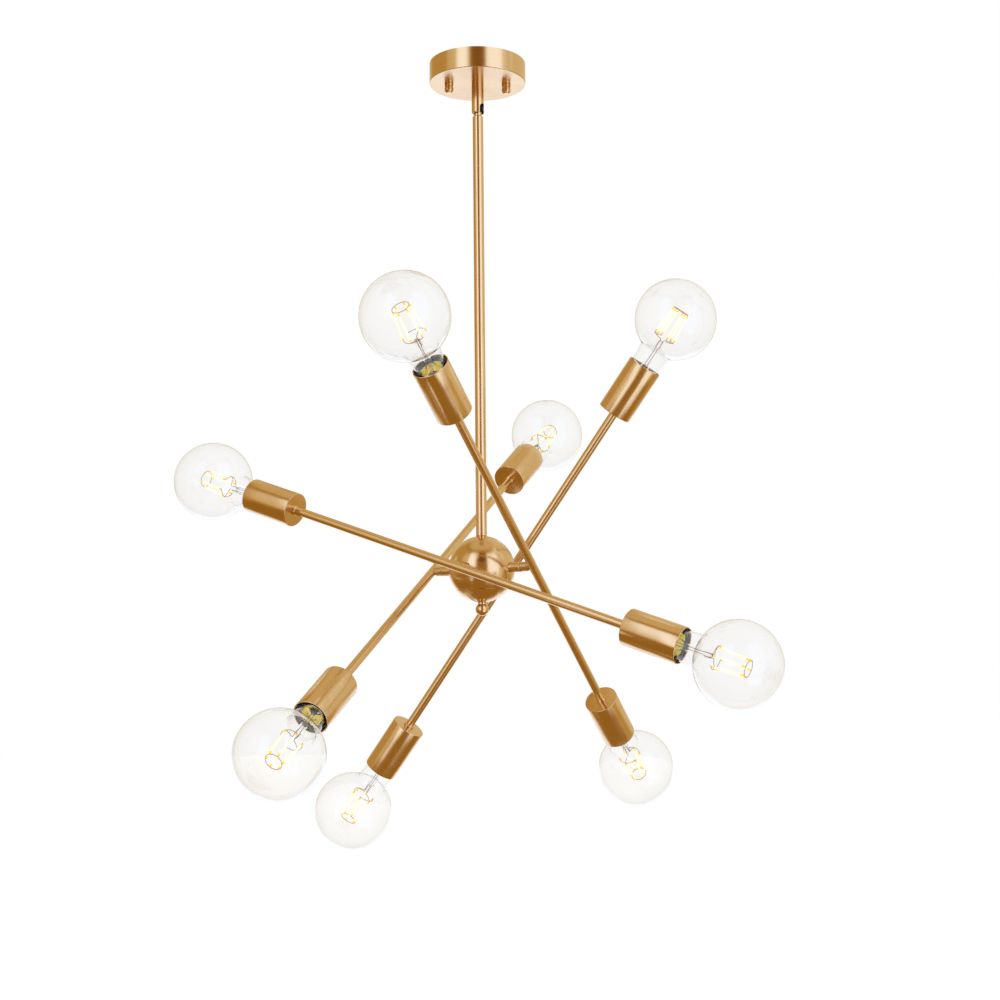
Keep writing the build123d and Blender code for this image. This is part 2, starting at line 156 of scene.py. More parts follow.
def mix_colours(tree, factor, first, second):
    made = node(tree, "ShaderNodeMix", data_type="RGBA")
    for key, value in (("Factor_Float", factor), ("A_Color", first), ("B_Color", second)):
        socket = next(s for s in made.inputs if s.identifier == key)
        if isinstance(value, (int, float)):
            socket.default_value = value
        elif isinstance(value, tuple):
            socket.default_value = (*value, 1.0)
        else:
            tree.links.new(value, socket)
    return next(s for s in made.outputs if s.identifier == "Result_Color")


def place_of(tree, local):
    """The piece's own coordinates: a stored attribute on turned pieces, object space on CAD nodes."""
    if local:
        made = node(tree, "ShaderNodeAttribute", attribute_name="local")
        return made.outputs["Vector"]
    return node(tree, "ShaderNodeTexCoord").outputs["Object"]


def noise(tree, place, stretch, detail=2.0, rough=0.5):
    scaled = node(tree, "ShaderNodeVectorMath", operation="MULTIPLY")
    tree.links.new(place, scaled.inputs[0])
    scaled.inputs[1].default_value = stretch
    made = node(tree, "ShaderNodeTexNoise")
    made.inputs["Scale"].default_value = 1.0
    made.inputs["Detail"].default_value = detail
    made.inputs["Roughness"].default_value = rough
    tree.links.new(scaled.outputs[0], made.inputs["Vector"])
    return made.outputs["Fac"]


def add_bump(tree, shader, height, strength, distance):
    bump = node(tree, "ShaderNodeBump")
    bump.inputs["Strength"].default_value = strength
    bump.inputs["Distance"].default_value = distance
    tree.links.new(height, bump.inputs["Height"])
    tree.links.new(bump.outputs[0], shader.inputs["Normal"])


def times(colour, factors):
    return tuple(min(1.0, channel * factor) for channel, factor in zip(colour, factors))


# ---- materials ----

# painted shade: black put on the swivel ball where the housing's slot shows it, standing in for the shade
# inside the slot
SLOT_SHADE_BLACK = (0.018, 0.014, 0.010)
SLOT_SHADE_EDGE = 0.0004      # half the width in metres over which brass turns to the painted shade black


def brushed_brass(name, base, roughness, anisotropy, local=True, grain=1.0, painted_shade_above=None):
    """Lacquered brass brushed round its axis; the last argument gives the height above which it is painted
    black, painted shade standing in for the dark inside a slot.
    """
    material, tree, shader = new_material(name)
    place = place_of(tree, local)
    fine = noise(tree, place, (60, 60, 5200), 3.0, 0.6)
    broad = noise(tree, place, (18, 18, 900), 2.0, 0.5)
    cloud = noise(tree, place, (26, 26, 26), 3.0, 0.55)
    streak = math_node(tree, "ADD", math_node(tree, "MULTIPLY", fine, 0.55),
                       math_node(tree, "MULTIPLY", broad, 0.45))
    dark, light = times(base, (0.96, 0.94, 0.90)), times(base, (1.03, 1.04, 1.07))
    grained = ramp(tree, streak, ((0.36, dark), (0.5, base), (0.64, light)))
    aged = times(base, (0.97, 0.94, 0.88))
    tone = mix_colours(tree, smooth_step(tree, cloud, 0.50, 0.72, 0.0, 0.35), grained, aged)
    # painted shade: above the given height the colour turns to black
    if painted_shade_above is not None:
        height = node(tree, "ShaderNodeSeparateXYZ")
        tree.links.new(place, height.inputs[0])
        edge = smooth_step(tree, height.outputs["Z"], painted_shade_above - SLOT_SHADE_EDGE, painted_shade_above + SLOT_SHADE_EDGE)
        tone = mix_colours(tree, edge, tone, SLOT_SHADE_BLACK)
    tree.links.new(tone, shader.inputs["Base Color"])
    shader.inputs["Metallic"].default_value = 1.0
    streaky = linear_step(tree, streak, 0.3, 0.7, roughness - 0.025, roughness + 0.025)
    cloudy = linear_step(tree, cloud, 0.3, 0.7, -0.015, 0.02)
    tree.links.new(math_node(tree, "ADD", streaky, cloudy), shader.inputs["Roughness"])
    shader.inputs["Anisotropic"].default_value = anisotropy
    shader.inputs["Anisotropic Rotation"].default_value = 0.25
    tangent = node(tree, "ShaderNodeTangent")
    if local:
        tangent.direction_type = "UV_MAP"
        tangent.uv_map = "around"
    else:
        tangent.direction_type = "RADIAL"
        tangent.axis = "Z"
    tree.links.new(tangent.outputs[0], shader.inputs["Tangent"])
    add_bump(tree, shader, streak, 0.07 * grain, 0.00006)
    return material


def turned_metal(name, base, roughness, local=False):
    """Plain turned or stamped metal with faint tool marks and small stains."""
    material, tree, shader = new_material(name)
    place = place_of(tree, local)
    marks = noise(tree, place, (260, 260, 1900), 3.0, 0.6)
    stain = noise(tree, place, (120, 120, 120), 4.0, 0.6)
    dark = times(base, (0.84, 0.84, 0.84))
    toned = mix_colours(tree, smooth_step(tree, stain, 0.42, 0.70, 0.0, 0.8), base, dark)
    tree.links.new(toned, shader.inputs["Base Color"])
    shader.inputs["Metallic"].default_value = 1.0
    tree.links.new(linear_step(tree, marks, 0.3, 0.7, roughness - 0.06, roughness + 0.08),
                   shader.inputs["Roughness"])
    add_bump(tree, shader, marks, 0.15, 0.00005)
    return material


def moulded_plastic(name, base, roughness, glow=0.0):
    """Speckled moulded plastic or resin; glow makes it look lit by its bulb."""
    material, tree, shader = new_material(name)
    place = place_of(tree, True)
    speckle = noise(tree, place, (900, 900, 900), 3.0, 0.6)
    light = tuple(channel * 1.5 + 0.006 for channel in base)
    toned = mix_colours(tree, smooth_step(tree, speckle, 0.4, 0.75), base, light)
    tree.links.new(toned, shader.inputs["Base Color"])
    tree.links.new(linear_step(tree, speckle, 0.3, 0.7, roughness - 0.06, roughness + 0.08),
                   shader.inputs["Roughness"])
    if glow:
        tree.links.new(toned, shader.inputs["Emission Color"])
        shader.inputs["Emission Strength"].default_value = glow
    add_bump(tree, shader, speckle, 0.12, 0.0001)
    return material


def clear_glass(name, tint, waviness, density):
    """Blown clear glass with the faint waves that blowing leaves."""
    material, tree, shader = new_material(name)
    place = place_of(tree, True)
    wave = noise(tree, place, (70, 70, 45), 2.0, 0.5)
    haze = noise(tree, place, (24, 24, 24), 2.0, 0.5)
    toned = mix_colours(tree, smooth_step(tree, haze, 0.35, 0.7), tint, times(tint, (0.985, 0.985, 0.985)))
    tree.links.new(toned, shader.inputs["Base Color"])
    shader.inputs["Transmission Weight"].default_value = 1.0
    shader.inputs["IOR"].default_value = 1.50
    shader.inputs["Specular Tint"].default_value = (0.62, 0.80, 1.0, 1)
    tree.links.new(linear_step(tree, haze, 0.3, 0.7, 0.0, 0.012), shader.inputs["Roughness"])
    add_bump(tree, shader, wave, waviness, 0.0002)
    depth = node(tree, "ShaderNodeVolumeAbsorption")
    depth.inputs["Color"].default_value = (0.40, 0.42, 0.43, 1)
    depth.inputs["Density"].default_value = density
    tree.links.new(depth.outputs[0], tree.nodes["Material Output"].inputs["Volume"])
    return material


def glowing_filament(name):
    """Phosphor-coated filament, lit: nearly white in its middle and amber where it turns away."""
    material, tree, shader = new_material(name)
    place = place_of(tree, True)
    grain = noise(tree, place, (2200, 2200, 2200), 2.0, 0.6)
    rim = node(tree, "ShaderNodeLayerWeight")
    rim.inputs["Blend"].default_value = 0.35
    glow = ramp(tree, rim.outputs["Facing"],
                ((0.0, (1.0, 1.0, 0.93)), (0.5, (1.0, 0.97, 0.70)), (0.85, (1.0, 0.80, 0.26))))
    fleck = mix_colours(tree, smooth_step(tree, grain, 0.35, 0.7, 0.0, 0.12), glow, (1.0, 0.86, 0.42))
    tree.links.new(fleck, shader.inputs["Emission Color"])
    shader.inputs["Emission Strength"].default_value = 1.05
    shader.inputs["Base Color"].default_value = (0.25, 0.16, 0.04, 1)
    shader.inputs["Roughness"].default_value = 0.6
    return material


def amber_end(name):
    """The amber ends of a filament, where its metal pin is set in phosphor; they glow too."""
    material, tree, shader = new_material(name)
    place = place_of(tree, True)
    grain = noise(tree, place, (1500, 1500, 1500), 2.0, 0.6)
    toned = mix_colours(tree, smooth_step(tree, grain, 0.35, 0.7), (1.0, 0.62, 0.03), (0.95, 0.45, 0.02))
    tree.links.new(toned, shader.inputs["Base Color"])
    tree.links.new(toned, shader.inputs["Emission Color"])
    shader.inputs["Emission Strength"].default_value = 0.85
    shader.inputs["Roughness"].default_value = 0.5
    return material


def circuit_green(name):
    """Circuit board with paler tracks under its green lacquer."""
    material, tree, shader = new_material(name)
    place = place_of(tree, True)
    tracks = node(tree, "ShaderNodeTexVoronoi", feature="DISTANCE_TO_EDGE", distance="CHEBYCHEV")
    tracks.inputs["Scale"].default_value = 520
    tree.links.new(place, tracks.inputs["Vector"])
    toned = mix_colours(tree, smooth_step(tree, tracks.outputs["Distance"], 0.03, 0.09),
                        (0.10, 0.26, 0.11), (0.015, 0.11, 0.045))
    tree.links.new(toned, shader.inputs["Base Color"])
    tree.links.new(linear_step(tree, tracks.outputs["Distance"], 0.0, 0.2, 0.5, 0.3),
                   shader.inputs["Roughness"])
    return material


BRASS = (0.84, 0.60, 0.33)
BALL_PAINTED_SHADE_ABOVE = -0.0612      # in metres: above this the ball and the first millimetre of its neck are painted black, painted shade for the dark inside the housing's slot
materials = {
    "canopy": brushed_brass("canopy_brass", BRASS, 0.23, 0.60, local=False),
    "turned": brushed_brass("turned_brass", BRASS, 0.18, 0.35, local=False, grain=0.4),
    "ball": brushed_brass("ball_brass_painted_shade", BRASS, 0.20, 0.3, local=False, painted_shade_above=BALL_PAINTED_SHADE_ABOVE),
    "stem": brushed_brass("stem_brass", BRASS, 0.20, 0.55, local=False, grain=0.35),
    "hub": brushed_brass("hub_brass", BRASS, 0.20, 0.45, local=False),
    "cover": brushed_brass("cover_brass", BRASS, 0.22, 0.45, local=False),
    "finial": brushed_brass("finial_brass", BRASS, 0.14, 0.2, local=False, grain=0.5),
    "tube": brushed_brass("arm_brass", BRASS, 0.20, 0.50, grain=0.35),
    "cup": brushed_brass("cup_brass", BRASS, 0.22, 0.60),
    "knuckle": turned_metal("knuckle_brass", BRASS, 0.22),
    "zinc": turned_metal("zinc_steel", (0.62, 0.63, 0.64), 0.34),
    "insulator": moulded_plastic("black_insulator", (0.012, 0.011, 0.010), 0.30),
    "glass": clear_glass("bulb_glass", (1.0, 1.0, 1.0), 0.05, 42.0),
    "stem_glass": clear_glass("stem_glass", (0.99, 1.0, 1.0), 0.08, 12.0),
    "base": turned_metal("base_metal", (0.90, 0.89, 0.87), 0.32, local=True),
    "base_inside": moulded_plastic("base_lining", (0.66, 0.54, 0.10), 0.45, glow=0.62),
    "wire": turned_metal("lead_wire", (0.50, 0.27, 0.15), 0.35, local=True),
    "filament": glowing_filament("filament_phosphor"),
    "filament_end": amber_end("filament_end"),
    "board": circuit_green("driver_board"),
    "potting": moulded_plastic("potting", (0.80, 0.56, 0.14), 0.5, glow=0.62),
    "zinc_local": turned_metal("tinned_parts", (0.75, 0.76, 0.77), 0.3, local=True),
}


# ---- turned pieces ----

def arc(centre_along, radius, start, end, steps, centre_radius=0.0):
    """Outline points on a circle; angles in degrees from outward, turning towards the piece's far end."""
    points = []
    for step in range(steps + 1):
        angle = math.radians(start + (end - start) * step / steps)
        points.append((centre_radius + radius * math.cos(angle), centre_along + radius * math.sin(angle)))
    return points


ON_AXIS = 1e-6      # an outline's point this near the axis is a single point


class Turned:
    """Collects turned outlines, wires and blocks, given in mm, into one mesh. The place and axis of
    each come as frame_of: its origin, its axis, and the side that angles start from."""

    def __init__(self):
        self.points = []
        self.locals = []
        self.faces = []
        self.corners = []
        self.marks = []

    def point(self, spot, frame_of):
        """Adds a point given in mm in a piece's own coordinates, and returns its number."""
        origin, axis, side = frame_of
        own = spot * MM
        self.locals.append(own)
        self.points.append(origin + side * own.x + axis.cross(side) * own.y + axis * own.z)
        return len(self.points) - 1

    def ring(self, radius_of, along_of, steps, frame_of):
        """Adds a ring of points whose radius and place along the axis may change round it."""
        numbers = []
        for step in range(steps):
            angle = 2 * math.pi * step / steps
            radius = radius_of(step)
            spot = Vector((radius * math.cos(angle), radius * math.sin(angle), along_of(step)))
            numbers.append(self.point(spot, frame_of))
        return numbers

    def face(self, numbers, corners, mark):
        self.faces.append(numbers)
        self.corners.extend(corners)
        self.marks.append(mark)

    def add(self, outline, frame_of, steps=72, closed=True, mark=0):
        """Turns an outline of (radius, along) points round the axis."""
        rings = []
        lengths = [0.0]
        for first, second in zip(outline, outline[1:]):
            lengths.append(lengths[-1] + math.dist(first, second))
        for radius, along in outline:
            count = 1 if radius < ON_AXIS else steps
            rings.append(self.ring(lambda step: radius, lambda step: along, count, frame_of))
        pairs = list(zip(range(len(rings) - 1), range(1, len(rings))))
        if closed:
            pairs.append((len(rings) - 1, 0))
        for low, high in pairs:
            first, second = rings[low], rings[high]
            if len(first) == 1 and len(second) == 1:
                continue
            start = lengths[low] * MM
            end = (lengths[high] if high else lengths[low] + math.dist(outline[low], outline[high])) * MM
            for step in range(steps):
                after = (step + 1) % steps
                u0, u1 = step / steps, (step + 1) / steps
                if len(first) == 1:
                    face, uv = (first[0], second[after], second[step]), ((u0, start), (u1, end), (u0, end))
                elif len(second) == 1:
                    face, uv = (first[step], first[after], second[0]), ((u0, start), (u1, start), (u0, end))
                else:
                    face = (first[step], first[after], second[after], second[step])
                    uv = ((u0, start), (u1, start), (u1, end), (u0, end))
                self.face(face, uv, mark)

    def build(self, name, body, finishes, slot, replaces=(), sharp=32.0):
        """Makes the mesh and its piece; a face's mark is the place of its finish in the list."""
        mesh = bpy.data.meshes.new(name)
        mesh.from_pydata([tuple(p) for p in self.points], [], self.faces)
        layer = mesh.uv_layers.new(name="around")
        layer.data.foreach_set("uv", [value for corner in self.corners for value in corner])
        own = mesh.attributes.new("local", "FLOAT_VECTOR", "POINT")
        own.data.foreach_set("vector", [value for spot in self.locals for value in spot])
        for finish in finishes:
            mesh.materials.append(materials[finish])
        mesh.polygons.foreach_set("material_index", self.marks)
        mesh.shade_smooth()
        mesh.set_sharp_from_angle(angle=math.radians(sharp))
        mesh.update()
        piece = bpy.data.objects.new(name, mesh)
        scene.collection.objects.link(piece)
        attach(piece, body)
        if replaces:
            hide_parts(*replaces)
        return piece


def outward_faces(piece):
    """Turns every face's normal to the outside."""
    work = bmesh.new()
    work.from_mesh(piece.data)
    bmesh.ops.recalc_face_normals(work, faces=work.faces)
    work.to_mesh(piece.data)
    work.free()


# ---- finishes of the CAD nodes that stay ----

KEPT = {
    "canopy": "canopy", "crossbar": "zinc", "canopy_studs": "zinc", "cap_nuts": "turned",
    "swivel_housing": "turned", "swivel_nut": "zinc", "swivel_ball": "ball", "stem": "stem",
    "stem_nipple": "zinc", "hub_nut": "zinc", "hub_shell": "hub", "hub_bridge": "zinc",
    "hub_rod": "zinc", "hub_cover": "cover", "finial": "finial", "hub_stubs": "knuckle"}
for number in ARMS:
    KEPT[f"arm_{number}_knuckle"] = "knuckle"
    KEPT[f"arm_{number}_knuckle_nut"] = "zinc"
for name, finish in KEPT.items():
    data = nodes[name].data
    data.materials.clear()
    data.materials.append(materials[finish])


# ---- arms ----

TUBE_R, TUBE_BORE, TUBE_HALF = 5.0, 4.0, 240.0
SHOULDER_R, CUP_BACK, SHOULDER_LENGTH = 6.2, 230.0, 2.5
CUP_R, CUP_WALL, CUP_FLOOR, CUP_MOUTH = 20.25, 1.2, 2.0, 296.0
GLOBE_AT, GLOBE_R, GLASS_WALL, NECK_JOINT_R = 361.0, 47.49, 0.9, 19.0
COLLAR_R, SHOULDER_GLASS_R, SHOULDER_STEPS = 12.3, 17.0, 6
BASE_TOP, BASE_LOW, BASE_R = 292.0, 265.0, 13.15
THREAD_PITCH, THREAD_TURNS, ROWS_PER_TURN, THREAD_MEAN_R, THREAD_HALF_DEPTH = 3.6, 5, 8, 12.8, 0.30
FILAMENT_LOW, FILAMENT_HIGH, FILAMENT_LOW_R, FILAMENT_HIGH_R = 337.5, 371.0, 12.8, 9.6
FILAMENTS, FILAMENT_R, FILAMENT_END_LENGTH, LEAD_R, STEM_TIP_BELOW = 6, 1.25, 2.4, 0.36, 6.0
PIN_R, PIN_LOW, PIN_HIGH, POTTING_BELOW = 0.35, 1.8, 1.6, 7.6
LOW_ARC_START, LOW_ARC_SPAN = -5, 130      # each half of the filaments' lower ring, in degrees
# how far each arm's upper and lower bulb happened to be screwed in, in degrees
BULB_TURNS = ((35, 38), (45, 42), (30, 40), (38, 50))


def tube_outline():
    """Tube with a bevelled shoulder behind each cup."""
    low = CUP_BACK - SHOULDER_LENGTH
    half = [(TUBE_BORE, 0), (TUBE_BORE, TUBE_HALF), (TUBE_R, TUBE_HALF), (TUBE_R, CUP_BACK),
            (SHOULDER_R - 0.3, CUP_BACK), (SHOULDER_R, CUP_BACK - 0.3), (SHOULDER_R, low + 0.3),
            (SHOULDER_R - 0.3, low), (TUBE_R + 0.25, low), (TUBE_R, low - 0.25), (TUBE_R, 0)]
    mirrored = [(r, -s) for r, s in reversed(half)]
    return half[:-1] + [(TUBE_R, 120), (TUBE_R, 0), (TUBE_R, -120)] + mirrored[1:-1]


def cup_outline():
    """Cup with a rounded back edge and lip, and a hole in its floor for the tube."""
    hole = TUBE_R + 0.1
    inner = CUP_R - CUP_WALL
    back = arc(CUP_BACK + 0.7, 0.7, -90, 0, 4, CUP_R - 0.7)
    lip = arc(CUP_MOUTH - 0.35, 0.35, 0, 90, 3, CUP_R - 0.35)
    return ([(hole, CUP_BACK)] + back + [(CUP_R, CUP_BACK + 22), (CUP_R, CUP_BACK + 44)] + lip
            + [(inner + 0.25, CUP_MOUTH), (inner, CUP_MOUTH - 0.25), (inner, CUP_BACK + CUP_FLOOR),
               (hole, CUP_BACK + CUP_FLOOR)])


def bulb_side(inset):
    """One side of a bulb's glass, taken in by a wall thickness, from its collar to its crown."""
    radius = GLOBE_R - inset
    joint = NECK_JOINT_R - inset
    opening = math.degrees(math.acos(joint / radius))
    collar, shoulder = COLLAR_R - inset, SHOULDER_GLASS_R - inset
    points = [(collar, BASE_TOP - 8.0), (collar, BASE_TOP + 0.3)]
    start, end = Vector((collar, BASE_TOP + 0.3)), Vector((shoulder, BASE_TOP + 5.0))
    leave, arrive = Vector((collar + 0.1, BASE_TOP + 2.6)), Vector((shoulder - 0.5, BASE_TOP + 3.0))
    for step in range(1, SHOULDER_STEPS + 1):
        t = step / SHOULDER_STEPS
        spot = (start * (1 - t) ** 3 + leave * (3 * t * (1 - t) ** 2)
                + arrive * (3 * t * t * (1 - t)) + end * t ** 3)
        points.append((spot.x, spot.y))
    joint_at = GLOBE_AT - math.sqrt(radius ** 2 - joint ** 2)
    points.append(((shoulder + joint) / 2 - 0.15, (BASE_TOP + 5.0 + joint_at) / 2))
    points += [(joint - 0.25, joint_at - 2.0), (joint, joint_at - 0.4)]
    points += arc(GLOBE_AT, radius, -opening + 0.8, 90, 44)[:-1]
    points.append((0, GLOBE_AT + radius))
    return points


def globe_outline():
    """The whole shell as one outline: down its outside, round the collar's rim and up its inside."""
    return bulb_side(0)[::-1] + bulb_side(GLASS_WALL)


def lampholder_outline():
    """Sleeve between tube and cup, with the socket that the bulb's base goes into."""
    back, front = CUP_BACK + CUP_FLOOR, CUP_MOUTH - 1.3
    socket, floor = BASE_R + 0.4, BASE_LOW - 1.5
    return [(TUBE_R + 0.05, back), (18.65, back), (18.65, front - 0.3), (18.35, front), (17.75, front),
            (17.3, front - 0.4), (socket + 0.4, BASE_TOP - 2.6), (socket, BASE_TOP - 3.0), (socket, floor),
            (2.0, floor), (2.0, floor - 3.0), (10.0, floor - 3.0), (10.0, TUBE_HALF + 1.0),
            (TUBE_R + 0.05, TUBE_HALF + 1.0)]


def stem_outline():
    """Flared tube, hollow up to the pinch that holds the lead wires."""
    foot, tip = BASE_TOP - 5.0, FILAMENT_LOW - STEM_TIP_BELOW
    side = [(10.6, foot), (10.6, foot + 0.8), (8.6, foot + 3.2), (6.8, foot + 5.6), (5.4, foot + 8.6),
            (4.6, foot + 12.0), (4.3, foot + 16.0), (4.15, foot + 22.0), (4.05, tip - 8.0), (3.9, tip - 5.0),
            (3.4, tip - 3.0), (2.7, tip - 1.3), (1.9, tip - 0.4), (1.0, tip - 0.05), (0, tip)]
    lining = [(0, tip - 9.0), (1.6, tip - 9.4), (2.8, tip - 11.0), (3.2, tip - 14.0), (3.35, foot + 16.0),
              (3.65, foot + 12.0), (4.5, foot + 8.2), (5.9, foot + 5.0), (7.8, foot + 2.5), (9.6, foot)]
    return lining + side


def add_base(turned, frame_of, steps=60):
    """Screw shell with a real rounded helix, made ring by ring."""
    low = BASE_LOW + 4.0
    high = low + THREAD_TURNS * THREAD_PITCH
    rows = ROWS_PER_TURN * THREAD_TURNS

    def level_ring(radius, along):
        return turned.ring(lambda step: radius, lambda step: along, steps, frame_of)

    def thread_ring(row):
        """One row of the helix, which fades out over the first and last three rows."""
        fade = min(1.0, row / 3, (rows - row) / 3)

        def radius_of(step):
            phase = 2 * math.pi * (row / ROWS_PER_TURN - step / steps)
            return THREAD_MEAN_R - THREAD_HALF_DEPTH * math.cos(phase) * fade

        return turned.ring(radius_of, lambda step: low + THREAD_PITCH * row / ROWS_PER_TURN, steps, frame_of)

    contact = ((3.5, BASE_LOW - 0.7), (4.7, BASE_LOW + 0.4), (10.8, low - 0.4), (12.45, low))
    rim = ((12.9, high + 0.4), (BASE_R, high + 0.9), (BASE_R, BASE_TOP - 0.3), (BASE_R - 0.25, BASE_TOP),
           (12.6, BASE_TOP), (12.38, BASE_TOP - 0.3), (12.38, low + 1.5))
    rings = [level_ring(*spot) for spot in contact]
    rings += [thread_ring(row) for row in range(rows + 1)]
    rings += [level_ring(*spot) for spot in rim]
    for index, (first, second) in enumerate(zip(rings, rings[1:])):
        lined = index < 2 or index >= len(rings) - 3
        start, end = index * MM, (index + 1) * MM
        for step in range(steps):
            after = (step + 1) % steps
            u0, u1 = step / steps, (step + 1) / steps
            turned.face((first[step], first[after], second[after], second[step]),
                        ((u0, start), (u1, start), (u1, end), (u0, end)), 1 if lined else 0)


def add_rod(turned, start, end, radius, frame_of, steps=10, mark=0):
    """Straight round wire with blunt tips, between two points in the piece's own coordinates."""
    base = len(turned.points)
    direction = (end - start).normalized()
    helper = Vector((1, 0, 0)) if abs(direction.x) < 0.8 else Vector((0, 1, 0))
    first = direction.cross(helper).normalized()
    second = direction.cross(first)
    for spot in (start, end):
        for step in range(steps):
            angle = 2 * math.pi * step / steps
            turned.point(spot + (first * math.cos(angle) + second * math.sin(angle)) * radius, frame_of)
    for cap, spot in enumerate((start - direction * radius * 0.4, end + direction * radius * 0.4)):
        tip = turned.point(spot, frame_of)
        ring = base + cap * steps
        for step in range(steps):
            after = (step + 1) % steps
            face = (ring + step, ring + after, tip) if cap else (ring + after, ring + step, tip)
            turned.face(face, ((0, 0), (0.1, 0), (0, 0.1)), mark)
    for step in range(steps):
        after = (step + 1) % steps
        u0, u1 = step / steps, (step + 1) / steps
        turned.face((base + step, base + after, base + steps + after, base + steps + step),
                    ((u0, 0), (u1, 0), (u1, 0.03), (u0, 0.03)), mark)


def add_wire(turned, spots, radius, frame_of, steps=8, mark=0):
    for start, end in zip(spots, spots[1:]):
        add_rod(turned, start, end, radius, frame_of, steps, mark)


def towards(degrees):
    """Unit vector across the axis at an angle."""
    return Vector((math.cos(math.radians(degrees)), math.sin(math.radians(degrees)), 0))


def at(along):
    """Point on the axis."""
    return Vector((0, 0, along))


def ring_spots(radius, along, start, end, count):
    """Points along part of a ring, from one angle to another."""
    return [towards(start + (end - start) * index / count) * radius + at(along) for index in range(count + 1)]


def add_filaments(filaments, wires, frame_of, turned_by):
    """Filaments with amber ends, the rings that join them and their two lead wires."""
    for place in range(FILAMENTS):
        radial = towards(place * 360 / FILAMENTS + turned_by)
        low = radial * FILAMENT_LOW_R + at(FILAMENT_LOW)
        high = radial * FILAMENT_HIGH_R + at(FILAMENT_HIGH)
        along = (high - low).normalized()
        end = along * FILAMENT_END_LENGTH
        add_rod(filaments, low + end, high - end, FILAMENT_R - 0.05, frame_of, steps=14)
        add_rod(filaments, low, low + end, FILAMENT_R, frame_of, steps=14, mark=1)
        add_rod(filaments, high - end, high, FILAMENT_R, frame_of, steps=14, mark=1)
        add_rod(wires, low - along * PIN_LOW, low, PIN_R, frame_of)
        add_rod(wires, high, high + along * PIN_HIGH, PIN_R, frame_of)
    low_ring, high_ring = FILAMENT_LOW - PIN_LOW, FILAMENT_HIGH + PIN_HIGH
    low_r = FILAMENT_LOW_R + 0.1
    for half in (0, 180):
        start = turned_by + LOW_ARC_START + half
        add_wire(wires, ring_spots(low_r, low_ring, start, start + LOW_ARC_SPAN, 14), LEAD_R, frame_of)
    add_wire(wires, ring_spots(FILAMENT_HIGH_R - 0.1, high_ring, 0, 360, 28), LEAD_R, frame_of)
    tip = FILAMENT_LOW - STEM_TIP_BELOW
    for angle in (turned_by + 60, turned_by + 240):
        out = towards(angle)
        bends = ((1.7, BASE_TOP - 9), (1.5, tip - 3), (2.2, tip + 1.5), (7.0, low_ring - 2.2),
                 (11.2, low_ring - 0.6), (low_r, low_ring))
        add_wire(wires, [out * radius + at(along) for radius, along in bends], LEAD_R, frame_of)


def add_block(turned, centre, half, frame_of, mark):
    """Small box with bevelled top edges, in the piece's own coordinates."""
    base = len(turned.points)
    inset = 0.12 * min(half[0], half[1])
    for lift, shrink in ((-1, 0), (0.7, 0), (1, inset)):
        for x, y in ((-1, -1), (1, -1), (1, 1), (-1, 1)):
            turned.point(Vector((centre[0] + x * (half[0] - shrink), centre[1] + y * (half[1] - shrink),
                                 centre[2] + lift * half[2])), frame_of)
    faces = [(base + 8, base + 9, base + 10, base + 11), (base + 3, base + 2, base + 1, base)]
    for level in (0, 4):
        for step in range(4):
            after = (step + 1) % 4
            faces.append((base + level + step, base + level + after,
                          base + level + 4 + after, base + level + 4 + step))
    for face in faces:
        turned.face(face, ((0, 0), (0.01, 0), (0.01, 0.01), (0, 0.01)), mark)


BOARD, POTTING, TINNED, BLACK = range(4)
BOARD_PARTS = ((-3.4, 1.5, 1.5, 1.1, TINNED), (2.6, -1.4, 1.8, 1.3, BLACK), (3.8, 2.2, 0.9, 0.6, TINNED),
               (-3.2, -2.4, 1.1, 0.6, BLACK), (0.2, 1.8, 0.8, 1.2, BLACK))


def add_board(board, frame_of):
    """Yellow potting in the screw base with the green driver board standing proud of it."""
    top = BASE_TOP - POTTING_BELOW
    board.add([(0, top - 3.0), (11.3, top - 3.0), (11.3, top), (9.6, top + 0.3), (8.4, top), (0, top)],
              frame_of, steps=48, mark=POTTING)
    add_block(board, (0, 0, top + 0.5), (6.8, 4.6, 0.7), frame_of, BOARD)
    for x, y, half_length, half_width, mark in BOARD_PARTS:
        add_block(board, (x, y, top + 1.6), (half_length, half_width, 0.5), frame_of, mark)


